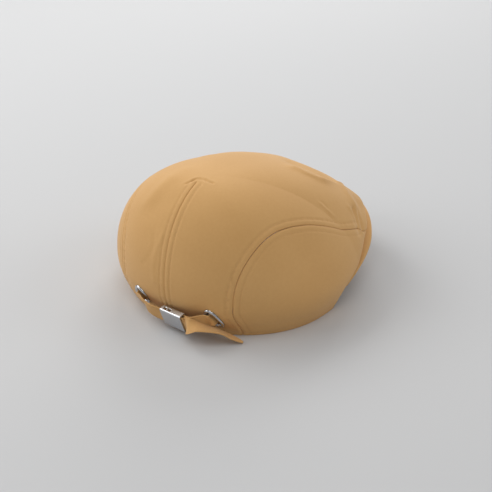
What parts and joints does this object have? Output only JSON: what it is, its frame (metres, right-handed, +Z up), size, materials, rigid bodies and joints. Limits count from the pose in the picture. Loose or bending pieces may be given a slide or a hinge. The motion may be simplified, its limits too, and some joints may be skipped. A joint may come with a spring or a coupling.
{
  "type": "flat cap",
  "caption": "Rounded cloth cap with a long top panel, curved side panels, a short stiff peak and a buckled back strap whose free end hangs loose.",
  "frame": {"origin": "on the floor that the hem rests on, under the middle of the cap's length and width", "axes": "+X towards the front, where the peak is; +Y towards the wearer's left; +Z up"},
  "size_m": [0.248, 0.2208, 0.1168],
  "materials": {
    "crown_cloth": "smooth cotton twill, camel",
    "side_cloth": "smooth cotton twill, camel",
    "peak_cloth": "smooth cotton twill over a stiff core, camel",
    "strap_cloth": "folded and edge-stitched cotton twill, camel",
    "buckle_steel": "satin",
    "eyelet_steel": "satin"
  },
  "bodies": {
    "root": {"crown_panel": "crown_cloth", "side_panel_left": "side_cloth", "side_panel_right": "side_cloth", "peak": "peak_cloth", "strap_fixed": "strap_cloth", "strap_adjuster": "strap_cloth", "buckle": "buckle_steel", "eyelet_left": "eyelet_steel", "eyelet_right": "eyelet_steel"}
  },
  "joints": []
}
